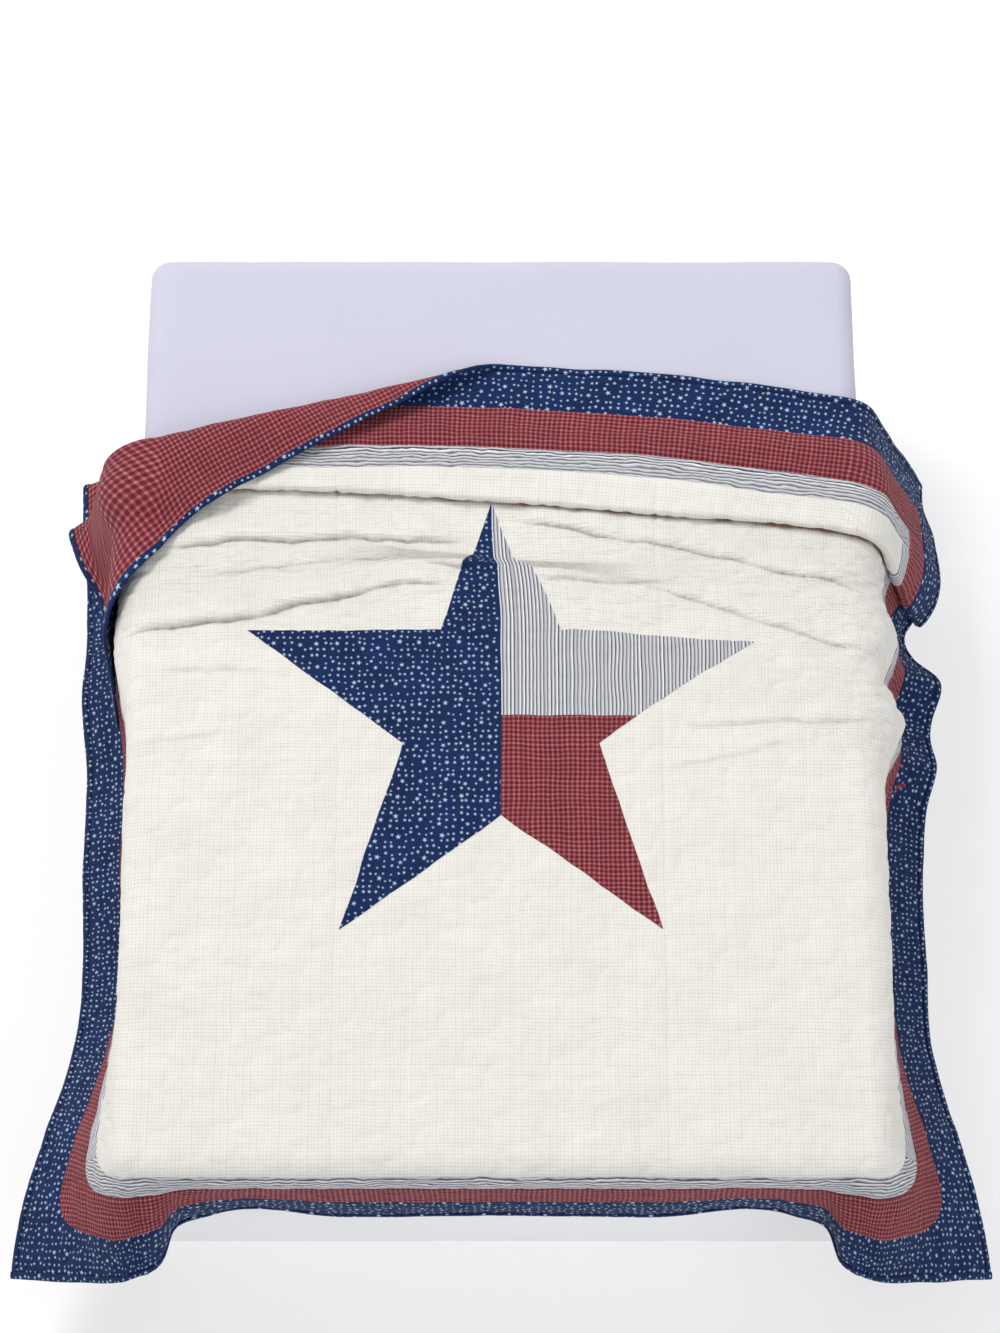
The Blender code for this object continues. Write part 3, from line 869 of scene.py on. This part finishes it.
def hung(a, b):
    size, pitch = quilt["wander"], quilt["wanderPitch"]
    x, y, h = lay(a + size * bumps(a, b, pitch, 21), b + size * bumps(a, b, pitch, 22))
    return drape(x, y) + facing(drape, x, y) * h[..., None]


def cloth(a, b, offset):                  # points at a height over the middle of the quilt
    return hung(a, b) + facing(hung, a, b, 3e-4) * offset[..., None]


# Quilting, crumples and the painted shade of the creases

quilting = {
    "pitch": 0.070,
    "turns": (43.0, -47.0),     # of the two families of wavy lines, in degrees
    "wave": 0.011,
    "waveLength": 0.098,
    "stray": (0.004, 0.16),
    "puff": 0.0023,
    "stitchWidth": 0.0085,
    "face": 0.0022,             # the top's height over the middle of the quilt
    "seamShare": 0.8,           # how far the panel seams press it down
    "seamWidth": 0.006,
    "inTuck": 0.85,             # how far the tuck flattens it
}
# how strong the painted shade is in the creases, in the tuck and along the pleat's front
paintedShading = {
    "crease": 0.50,             # painted shade below a fold of full height
    "fullHeight": 0.016,
    "creaseWidth": 0.0042,
    "tuck": 0.20,
    "line": 0.62,               # painted shadow along the pleat's front, and more of it toward the right
    "lineMore": 0.30,
    "lineVary": 0.35,
    "lineBack": 0.0095,
    "lineWidth": 0.0036,
}
crumples = {                    # height and pitch of each kind, in metres
    "pucker": (0.00055, 0.0100),
    "widePucker": (0.0007, 0.021),
    "broad": (0.0011, 0.045),
    "upper": (0.0015, 0.026),
    "upperCrease": (0.0020, 0.019),
    "right": (0.0032, 0.024),
    "rightCrease": (0.0032, 0.021),
    "nearStitch": 0.014,        # the puckers are deepest this near a quilting line
    "upperFrom": 1.25,          # from the foot hem
    "rightFrom": 0.45,
    "rightUpFrom": 0.95,
    "grow": 0.30,               # the way over which they set in
    "end": 1.80,
}


def paintedCreaseShade(a, b):                     # painted shade: how dark a crease's bottom is painted, and the painted shadow line below the pleat
    y = settled(a, b)[1]
    paintedShade = np.zeros_like(a)
    for x0, y0, x1, y1, tall, width in creases:
        across, ends = fromCrease(a, y, x0, y0, x1, y1)
        dark = ends * min(1, tall / paintedShading["fullHeight"]) * paintedShading["crease"]
        paintedShade = np.maximum(paintedShade, dark * np.exp(-((across / paintedShading["creaseWidth"]) ** 2)))
    paintedShade = np.maximum(paintedShade, paintedShading["tuck"] * inTuck(a, b, 0.55, 4))
    below = np.maximum(read(pleat, "front", a) - paintedShading["lineBack"] - y, 0)
    dark = paintedShading["line"] + paintedShading["lineMore"] * ease((a + 0.1) / 0.4)
    dark = dark + paintedShading["lineVary"] * bumps(a, 0 * a, 0.05, 12)
    line = np.exp(-((below / paintedShading["lineWidth"]) ** 2)) * dark
    return np.clip(np.maximum(paintedShade, line), 0, 1) * (b < pleatKeys(a)[1])


def stitchDistance(a, b):                 # to the nearest line of either family of quilting lines
    found = []
    stray, strayPitch = quilting["stray"]
    for turn in quilting["turns"]:
        angle = math.radians(turn)
        across = a * math.cos(angle) + b * math.sin(angle)
        along = -a * math.sin(angle) + b * math.cos(angle)
        wave = quilting["wave"] * np.sin(2 * math.pi * along / quilting["waveLength"])
        wave = wave + stray * bumps(a, b, strayPitch, 5)
        place = (across + wave) / quilting["pitch"]
        found.append(np.abs(place - np.round(place)) * quilting["pitch"])
    return found


def puffed(one, two, width):              # 0 on a quilting line, 1 in the middle of a cell
    return (1 - np.exp(-((one / width) ** 2))) * (1 - np.exp(-((two / width) ** 2)))


def puckers(a, b, near):                  # short gathers beside the stitches
    size, pitch = crumples["pucker"]
    pucker = bumps(a * 0.6, b, pitch, 1) * size
    size, pitch = crumples["widePucker"]
    pucker = pucker + bumps(a * 0.7, b, pitch, 2) * size
    return pucker * (0.6 + np.exp(-near / crumples["nearStitch"]))


def crumpling(a, b):                      # broad unevenness, and the crumples near the head and right edge
    grow, end = crumples["grow"], crumples["end"]
    upper = ease((b - crumples["upperFrom"]) / grow) * (b < end)
    right = ease((a - crumples["rightFrom"]) / grow) * ease((b - crumples["rightUpFrom"]) / grow)
    right = right * (b < end)
    wander = b + a * 0.10 + 0.012 * bumps(a, b, 0.09, 13)
    size, pitch = crumples["broad"]
    crumple = size * bumps(a * 0.55, b, pitch, 4)
    size, pitch = crumples["upper"]
    crumple = crumple + upper * size * bumps(a * 0.22, wander, pitch, 9)
    size, pitch = crumples["upperCrease"]
    fine = 1 - np.abs(bumps(a * 0.16, wander, pitch, 14))
    crumple = crumple - upper * size * fine**4 * ease(bumps(a, b, 0.10, 15) + 0.55)
    size, pitch = crumples["right"]
    crumple = crumple + right * size * bumps(a * 0.5 - b * 0.5, b + a * 0.45, pitch, 10)
    size, pitch = crumples["rightCrease"]
    fine = 1 - np.abs(bumps(a * 0.22, b - a * 0.30, pitch, 16))
    return crumple - right * size * fine**4 * ease(bumps(a, b, 0.09, 17) + 0.6)


def surfaceRelief(a, b):
    one, two = stitchDistance(a, b)
    puff = puffed(one, two, quilting["stitchWidth"])
    for seam in (-quilt["panelSeam"], quilt["panelSeam"]):
        pressed = np.exp(-(((a - seam) / quilting["seamWidth"]) ** 2))
        puff = puff * (1 - quilting["seamShare"] * pressed)
    height = quilting["puff"] * puff + puckers(a, b, np.minimum(one, two)) + crumpling(a, b)
    return height * (1 - quilting["inTuck"] * inTuck(a, b, 0.8, 6))


# Mesh tools

def deselectAll():
    for item in list(bpy.context.selected_objects):
        item.select_set(False)


def spread(first, last, step):
    return np.linspace(first, last, max(1, round((last - first) / step)) + 1)


rowPlan = {
    "creasesFrom": 1.385,       # the rows are closer from here on
    "plainEnd": 1.700,
    "pleatEdge": 0.006,         # three rows lie in this strip, before the pleat
    "edgeRows": 3,
    "backRows": 7,              # round the pleat's back and front turns
    "frontRows": 9,
    "toPleat": 0.130,           # the lengths that the other stretches' rows are counted from
    "layer": 0.12,
    "toHead": 0.05,
}


# Rows of a panel, which follow the pleat's folds between the foot and the head
def rowTable(aLines, bRange, step, fine=0.62, head=1.0):
    plainEnd, headStart = rowPlan["plainEnd"], quilt["length"] - border
    low, high = bRange
    if high < rowPlan["creasesFrom"] or low > headStart - 0.001:
        return np.array([np.full_like(aLines, b) for b in spread(low, high, step)])
    plain = spread(low, rowPlan["creasesFrom"], step)[:-1]
    plain = np.append(plain, spread(rowPlan["creasesFrom"], plainEnd, step * fine))
    rows = [np.full_like(aLines, b) for b in plain]
    folds = pleatKeys(aLines)
    keys = (rows[-1], folds[0] - rowPlan["pleatEdge"]) + folds + (np.full_like(aLines, headStart),)
    layer = round(rowPlan["layer"] / step)
    counts = (round(rowPlan["toPleat"] / step), rowPlan["edgeRows"], layer, rowPlan["backRows"])
    counts = counts + (layer, rowPlan["frontRows"], round(rowPlan["toHead"] / step))
    for first, last, count in zip(keys, keys[1:], counts):
        rows += [first + (last - first) * i / count for i in range(1, count + 1)]
    if high > headStart + 0.001:
        rows += [np.full_like(aLines, b) for b in spread(headStart, high, step * head)[1:]]
    return np.array(rows)


def rounded(a, b):                        # draws the seams round in the two foot corners
    side, foot = half - np.abs(a), b
    reach = roundSeam["reach"]
    shift = np.maximum(reach - np.abs(side - foot), 0) ** 2 / (4 * reach)
    near = np.minimum(side, foot)
    shift = shift * ease((near - quilt["binding"]) / roundSeam["from"])
    shift = shift * (1 - ease((near - roundSeam["until"]) / roundSeam["fade"]))
    return a - np.sign(a) * shift, b + shift


def vectorsOf(item, name):                # the place or normal of each vertex
    values = np.empty(len(item.data.vertices) * 3)
    item.data.vertices.foreach_get(name, values)
    return values.reshape(-1, 3)


def cutAcross(shape, axis, stops):
    for stop in stops:
        point, normal = [0, 0, 0], [0, 0, 0]
        point[axis], normal[axis] = stop, 1
        everything = shape.verts[:] + shape.edges[:] + shape.faces[:]
        bmesh.ops.bisect_plane(shape, geom=everything, plane_co=point, plane_no=normal)


def setFlatMap(item, a, b):
    layer = item.data.uv_layers.new(name="flat")
    corner = np.empty(len(item.data.loops), dtype=np.int32)
    item.data.loops.foreach_get("vertex_index", corner)
    layer.uv.foreach_set("vector", np.stack((a[corner], b[corner]), axis=-1).astype(np.float32).ravel())


def thicken(item, thickness):
    bpy.context.view_layer.objects.active = item
    solid = item.modifiers.new("clothThickness", "SOLIDIFY")
    solid.thickness = thickness
    solid.offset = -1
    bpy.ops.object.modifier_apply(modifier=solid.name)
    item.data.shade_smooth()
    item.data.set_sharp_from_angle(angle=math.radians(60))


def shapeCloth(item, a, b, height, thickness):
    item.data.vertices.foreach_set("co", cloth(a, b, height).ravel())
    for layer in list(item.data.uv_layers):
        item.data.uv_layers.remove(layer)
    setFlatMap(item, a, b)
    # painted shade of the creases, the tuck and the pleat's front line, kept on each point
    paintedShade = item.data.attributes.new("shadeLine", "FLOAT", "POINT")
    paintedShade.data.foreach_set("value", paintedCreaseShade(a, b).astype(np.float32))
    item.data.update()
    thicken(item, thickness)


def flatGrid(name, columns, count):       # a grid, with each vertex's column and row
    deselectAll()
    bpy.ops.mesh.primitive_grid_add(x_subdivisions=columns, y_subdivisions=count, size=2)
    item = bpy.context.object
    item.name = item.data.name = name
    points = vectorsOf(item, "co")
    i = np.round((points[:, 0] + 1) / 2 * columns).astype(int)
    j = np.round((points[:, 1] + 1) / 2 * count).astype(int)
    return item, i, j


def clothGrid(name, aLines, rows, height, thickness):
    item, i, j = flatGrid(name, len(aLines) - 1, len(rows) - 1)
    a, b = aLines[i], rows[j, i]
    shapeCloth(item, *rounded(a, b), height(a, b), thickness)
    return item


def dress(item, material, nodes):
    item.data.materials.clear()
    item.data.materials.append(material)
    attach(item, "root")
    if nodes:
        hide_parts(*nodes)


# The quilt's panels, borders, binding and reverse

cut = {
    "step": 0.0060,
    "thickness": 0.0009,
    "seamDip": 0.0012,
    "seamWidth": 0.0035,
    "reliefFrom": 0.012,        # the relief is full this far from a seam
    "seamRelief": 0.15,         # what is left of it on the seam
}


def topHeight(aRange, bRange):            # the relief of a patch, rolled down at its seams
    def height(a, b):
        edge = np.minimum(
            np.minimum(a - aRange[0], aRange[1] - a), np.minimum(b - bRange[0], bRange[1] - b)
        )
        dip = cut["seamDip"] * np.exp(-((edge / cut["seamWidth"]) ** 2))
        full = ease(edge / cut["reliefFrom"] + cut["seamRelief"])
        return quilting["face"] + surfaceRelief(a, b) * full - dip
    return height


def patch(name, aRange, bRange, material):
    aLines = spread(aRange[0], aRange[1], cut["step"])
    rows = rowTable(aLines, bRange, cut["step"])
    item = clothGrid(name + "_cloth", aLines, rows, topHeight(aRange, bRange), cut["thickness"])
    dress(item, material, [name])
    size = (aRange[1] - aRange[0], bRange[1] - bRange[0])


def makeField(material):
    seam = quilt["panelSeam"]
    bRange = (border, quilt["length"] - border)
    patch("field_left", (-halfField, -seam), bRange, material)
    patch("field_centre", (-seam, seam), bRange, material)
    patch("field_right", (seam, halfField), bRange, material)


def makeRing(name, outer, inner, acrossMaterial, alongMaterial):
    wide, inside = half - outer, half - inner
    length = quilt["length"]
    patch(name + "_foot", (-wide, wide), (outer, inner), acrossMaterial)
    patch(name + "_head", (-wide, wide), (length - inner, length - outer), acrossMaterial)
    patch(name + "_left", (-wide, -inside), (inner, length - inner), alongMaterial)
    patch(name + "_right", (inside, wide), (inner, length - inner), alongMaterial)


bindingShape = {
    "rise": 0.0040,
    "step": 0.0090,
    "thickness": 0.0009,
    "strip": 0.0300,            # the strip's width before it is folded over the hem
    "past": 0.0015,             # how far the foot and head strips pass the corners
    "sideFrom": 0.0125,         # where the side strips start, between those
    "sideSteps": (0.0085, 0.0090, 0.002, 0.0090, 0.0028, 0.0085),
    "uneven": (0.12, 0.02),
    "profile": [                # distance in from the hem, height over the middle as a share of the rise
        (0.0122, 0.62), (0.0114, 0.95), (0.0092, 1.08), (0.0056, 1.10), (0.0020, 1.00),
        (-0.0008, 0.66), (-0.0019, 0.0), (-0.0008, -0.66), (0.0020, -0.95), (0.0056, -1.00),
        (0.0092, -0.98), (0.0114, -0.90), (0.0122, -0.62),
    ],
}


def bindingRun(place):                    # the places of a strip's rows, closer round the pleat's turns
    if place in ("foot", "head"):
        reach = half + bindingShape["past"]
        return spread(-reach, reach, bindingShape["step"])
    edge = half if place == "right" else -half
    keys = [float(key[0]) for key in pleatKeys(np.array([edge]))]
    stops = [bindingShape["sideFrom"]] + keys + [quilt["length"] - bindingShape["sideFrom"]]
    pairs = zip(stops, stops[1:], bindingShape["sideSteps"])
    run = np.concatenate([spread(first, last, step)[:-1] for first, last, step in pairs])
    return np.append(run, stops[-1])


def bindingStrip(name, place, material):  # a strip folded over the hem from the face to the reverse
    length = quilt["length"]
    inward, high = np.array(bindingShape["profile"]).T
    run = bindingRun(place)
    if place in ("foot", "right"):
        inward, high = inward[::-1], high[::-1]
    item, i, j = flatGrid(name + "_cloth", len(inward) - 1, len(run) - 1)
    across, along = inward[i], run[j]
    a = {"foot": along, "head": -along, "left": across - half, "right": half - across}[place]
    b = {"foot": across, "head": length - across, "left": along, "right": length - along}[place]
    uneven, pitch = bindingShape["uneven"]
    height = high[i] * bindingShape["rise"] * (1 + uneven * bumps(a, b, pitch, 8))
    shapeCloth(item, a, b, height, bindingShape["thickness"])
    dress(item, material, [name])


reverse = {
    "inset": 0.010,             # from the hem, under the binding
    "thickness": 0.0008,
    "fineUntil": -0.30,         # columns are close over the turned corner, left of here
    "fineStep": 0.0105,
    "wideStep": 0.024,
    "rowStep": 0.018,
    "foldRows": 0.22,           # row steps among the folds and at the head, as shares of that
    "headRows": 0.5,
    "below": 0.0012,            # under the middle of the quilt
    "stitchWidth": 0.016,
    "puff": 0.0016,             # these three where the turned corner shows it
    "more": 0.0006,
    "uneven": (0.0012, 0.05),
    "folds": (1.30, 1.84),
    "foldDrop": 0.0033,         # it lies lower among the folds and in the tuck
    "tuckDrop": 0.003,
    "tuckReach": 0.36,
    "tuckWidth": 1.1,
}


def reverseHeight(a, b):
    puff = puffed(*stitchDistance(a, b), reverse["stitchWidth"])
    free = ease((b - pleatKeys(a)[-1]) / 0.05) * ease((0.1 - a) / 0.1)
    uneven, pitch = reverse["uneven"]
    shown = free * (reverse["puff"] * puff + reverse["more"] + uneven * bumps(a, b, pitch, 6))
    low, high = reverse["folds"]
    folded = (b > low) & (b < high) & (np.abs(a) < halfField)
    middle = (tuckPlace(a, b) - 0.5) / reverse["tuckWidth"]
    gathered = np.exp(-((a / reverse["tuckReach"]) ** 8)) * np.exp(-(middle**6))
    return -reverse["below"] - shown - reverse["foldDrop"] * folded - reverse["tuckDrop"] * gathered


def makeReverse(material):
    inset, length = reverse["inset"], quilt["length"]
    fine = spread(-half + inset, reverse["fineUntil"], reverse["fineStep"])[:-1]
    aLines = np.append(fine, spread(reverse["fineUntil"], half - inset, reverse["wideStep"]))
    shares = (reverse["foldRows"], reverse["headRows"])
    rows = rowTable(aLines, (inset, length - inset), reverse["rowStep"], *shares)
    item = clothGrid("reverse_cloth", aLines, rows, reverseHeight, reverse["thickness"])
    dress(item, material, ["reverse_corner"])
    size = (2 * (half - inset), length - 2 * inset)


# The star

star = {
    "radius": 0.548,
    "stretch": 1.045,
    "innerShare": 0.382,
    "centre": 1.229,            # from the foot hem
    "raised": {1: 0.016, 2: 0.016, 8: 0.016, 9: 0.016, 3: 0.007, 7: 0.007},
    "rise": 0.0008,
    "thickness": 0.0007,
}


def fieldColumns():                       # the columns of the field's three panels, side by side
    seam = quilt["panelSeam"]
    ends = [(-halfField, -seam), (-seam, seam), (seam, halfField)]
    return np.unique(np.concatenate([spread(*pair, cut["step"]) for pair in ends]).round(7))


def starPoints():                         # counter-clockwise from the top point
    points = []
    for k in range(10):
        angle = math.pi / 2 + k * math.pi / 5
        radius = star["radius"] * (1 if k % 2 == 0 else star["innerShare"])
        up = star["stretch"] * radius * math.sin(angle) + star["raised"].get(k, 0)
        points.append((radius * math.cos(angle), star["centre"] + up))
    return points


def starPatch(name, outline, material):
    shape = bmesh.new()
    shape.faces.new([shape.verts.new((a, b, 0)) for a, b in outline])
    low = [min(p[k] for p in outline) for k in (0, 1)]
    high = [max(p[k] for p in outline) for k in (0, 1)]
    field = (border, quilt["length"] - border)
    rows = rowTable(np.zeros(1), field, cut["step"])[:, 0]
    for k, stops in enumerate((fieldColumns(), rows)):
        cutAcross(shape, k, stops[(stops > low[k] + 1e-6) & (stops < high[k] - 1e-6)])
    bmesh.ops.recalc_face_normals(shape, faces=shape.faces)
    if shape.faces[:][0].normal.z < 0:
        bmesh.ops.reverse_faces(shape, faces=shape.faces)
    deselectAll()
    bpy.ops.mesh.primitive_plane_add(size=1)
    item = bpy.context.object
    item.name = item.data.name = name
    shape.to_mesh(item.data)
    shape.free()
    a, b = vectorsOf(item, "co").T[:2]
    height = quilting["face"] + surfaceRelief(a, b) + star["rise"]
    shapeCloth(item, a, b, height, star["thickness"])
    dress(item, material, [])
    size = (high[0] - low[0], high[1] - low[1])
    pairs = zip(outline, outline[1:] + outline[:1])
    area = abs(sum(p[0] * q[1] - q[0] * p[1] for p, q in pairs)) / 2


def makeStar(navyMaterial, tickingMaterial, checkMaterial):
    p = starPoints()
    heart = (0.0, star["centre"])
    share = (heart[1] - p[7][1]) / (p[8][1] - p[7][1])
    side = (p[7][0] + (p[8][0] - p[7][0]) * share, heart[1])
    starPatch("star_navy", p[:6], navyMaterial)
    starPatch("star_ticking", [p[0], heart, side, p[8], p[9]], tickingMaterial)
    starPatch("star_check", [heart, p[5], p[6], p[7], side], checkMaterial)


# The bed

mattress = {
    "edge": 0.045,
    "segments": 6,
    "cell": 0.035,
    "inset": 0.0012,            # the cover's dents go in from the solid's faces
    "dent": (0.0012, 0.09),
    "smallDent": (0.0005, 0.035),
}


def makeMattress(material):
    deselectAll()
    size = mattressHigh - mattressLow
    centre = (mattressHigh + mattressLow) / 2
    bpy.ops.mesh.primitive_cube_add(size=1, location=centre, scale=size)
    item = bpy.context.object
    item.name = item.data.name = "mattress_cover"
    bpy.ops.object.transform_apply(location=True, rotation=True, scale=True)
    bevel = item.modifiers.new("rounded", "BEVEL")
    bevel.width = mattress["edge"]
    bevel.segments = mattress["segments"]
    bpy.ops.object.modifier_apply(modifier=bevel.name)
    shape = bmesh.new()
    shape.from_mesh(item.data)
    for k in range(3):
        count = int(size[k] / mattress["cell"])
        cutAcross(shape, k, [mattressLow[k] + size[k] * i / count for i in range(1, count)])
    shape.to_mesh(item.data)
    shape.free()
    points = vectorsOf(item, "co")
    x, y, z = points.T
    dent = mattress["inset"]
    for (deep, pitch), seed in zip((mattress["dent"], mattress["smallDent"]), (2, 3)):
        dent = dent + deep * bumps(x + z, y - z, pitch, seed)
    points = points - vectorsOf(item, "normal") * dent[:, None]
    item.data.vertices.foreach_set("co", points.ravel())
    item.data.update()
    item.data.shade_smooth()
    dress(item, material, ["mattress"])


def makeFloor():
    deselectAll()
    bpy.ops.mesh.primitive_plane_add(size=view["floorSize"], location=(0, 0, 0))
    floor = bpy.context.object
    floor.name = "floor"
    finish = Finish("floorPaint", 0.9)
    grain = finish.noise(finish.place(), 3.0)
    finish.colour(finish.mix(grain * 0.1, (*view["floorColour"], 1), (*view["floorShade"], 1)))
    finish.shader.inputs["Emission Color"].default_value = (1, 1, 1, 1)
    finish.shader.inputs["Emission Strength"].default_value = view["floorGlow"]
    floor.data.materials.append(finish.material)


addCamera()
addLights()
makeFloor()
print("camera, light and floor")

cream = creamFinish()
tickingAcross = tickingFinish("tickingAcross", True)
tickingAlong = tickingFinish("tickingAlong", False)
red = redFinish()
navy = navyFinish()
# the sheet's colour holds some painted shade
sheetCloth = plainFinish("sheetCotton", tone["mattress"], 0.002)
baseCloth = plainFinish("baseWeave", tone["base"], 0.003)
print("materials")

makeMattress(sheetCloth)
makeField(cream)
makeRing("ticking", quilt["navy"] + quilt["check"], border, tickingAcross, tickingAlong)
makeRing("check", quilt["navy"], quilt["navy"] + quilt["check"], red, red)
makeRing("navy", quilt["binding"], quilt["navy"], navy, navy)
print("panels and borders")
for place in ("foot", "head", "left", "right"):
    bindingStrip("binding_" + place, place, navy)
makeReverse(red)
print("binding and reverse")
makeStar(navy, tickingAlong, red)
print("star")
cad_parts["bed_base"].data.materials.clear()
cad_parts["bed_base"].data.materials.append(baseCloth)
print("bed")
